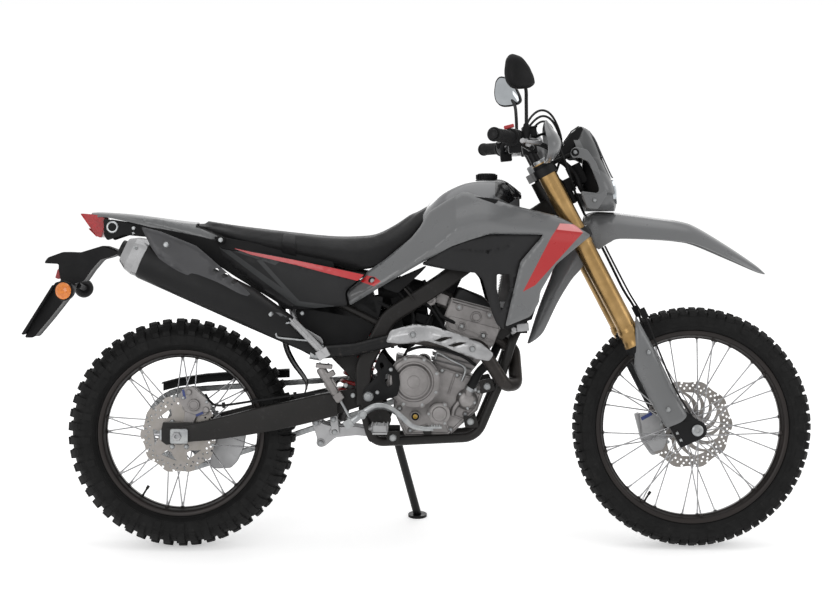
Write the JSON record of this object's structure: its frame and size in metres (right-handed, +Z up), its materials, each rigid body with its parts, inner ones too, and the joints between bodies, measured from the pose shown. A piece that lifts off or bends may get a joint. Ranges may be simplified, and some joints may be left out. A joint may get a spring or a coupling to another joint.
{
  "type": "dual sport motorcycle",
  "caption": "Dual sport motorcycle leaning on its side stand, with turning wired-spoke wheels, steering fork and folding stand.",
  "frame": {"origin": "on the floor, below the middle of the whole motorcycle", "axes": "+X forward along the wheelbase, +Y to the rider's left, +Z up; the motorcycle leans 10 degrees to its left on its side stand"},
  "size_m": [2.2358, 0.8508, 1.4209],
  "materials": {
    "black_metal": "satin black",
    "black_plastic": "matt black",
    "body_paint": "glossy mid grey",
    "bright_steel": "brushed",
    "charcoal_plastic": "satin charcoal",
    "engine_alloy": "cast, satin",
    "frame_paint": "satin dark grey",
    "gold_anodise": "gold anodised",
    "lamp_glass": "clear",
    "red_lens": "glossy red",
    "rubber": "matt",
    "seat_cover": "black textured vinyl",
    "tyre_rubber": "matt"
  },
  "bodies": {
    "front_wheel": {"front_tyre": "tyre_rubber", "front_rim": "black_metal", "front_hub": "engine_alloy", "front_spokes": "bright_steel", "front_disc": "bright_steel"},
    "rear_wheel": {"rear_tyre": "tyre_rubber", "rear_rim": "black_metal", "rear_hub": "engine_alloy", "rear_spokes": "bright_steel", "rear_disc": "bright_steel", "rear_sprocket": "bright_steel"},
    "steering": {"front_axle": "bright_steel", "handlebar": "black_metal", "triple_clamps": "black_metal", "fork_tubes": "gold_anodise", "fork_guards": "body_paint", "fork_sliders": "black_metal", "front_fender": "body_paint", "headlamp": "lamp_glass", "headlight_cowl": "body_paint", "meter": "black_plastic", "grips": "rubber", "controls": "black_metal", "hand_guards": "body_paint", "mirrors": "black_plastic", "front_caliper": "engine_alloy"},
    "chassis": {"rear_axle": "bright_steel", "frame": "frame_paint", "swingarm": "frame_paint", "exhaust_header": "black_metal", "engine": "engine_alloy", "valve_cover": "black_metal", "muffler": "black_metal", "heat_shields": "bright_steel", "fuel_tank": "body_paint", "seat": "seat_cover", "shrouds": "body_paint", "inner_panels": "charcoal_plastic", "side_covers": "charcoal_plastic", "tail_cowl": "body_paint", "rear_fender": "black_plastic", "rear_lamps": "red_lens", "subframe": "frame_paint", "airbox": "black_plastic", "mud_flap": "black_plastic", "rear_shock": "black_metal", "rear_brake": "engine_alloy", "chain": "bright_steel", "chain_guard": "black_plastic", "foot_levers": "bright_steel", "footpegs": "bright_steel", "radiator": "engine_alloy"},
    "side_stand": {"side_stand": "black_metal"}
  },
  "joints": [
    {"name": "steering", "type": "hinge", "parent": "chassis", "child": "steering", "pos_m": [0.38479, -0.03108, 0.95329], "axis": [-0.4617, 0.154, 0.8735], "range_deg": [-45, 45]},
    {"name": "front_wheel_spin", "type": "hinge", "parent": "steering", "child": "front_wheel", "pos_m": [0.7791, -0.13975, 0.33696], "axis": [0, 0.9848, -0.1736], "continuous": true},
    {"name": "rear_wheel_spin", "type": "hinge", "parent": "chassis", "child": "rear_wheel", "pos_m": [-0.6759, -0.14253, 0.3212], "axis": [0, 0.9848, -0.1736], "continuous": true},
    {"name": "side_stand_fold", "type": "hinge", "parent": "chassis", "child": "side_stand", "pos_m": [-0.0659, -0.02968, 0.27592], "axis": [0, 0.9898, 0.1425], "range_deg": [0, 100]}
  ]
}
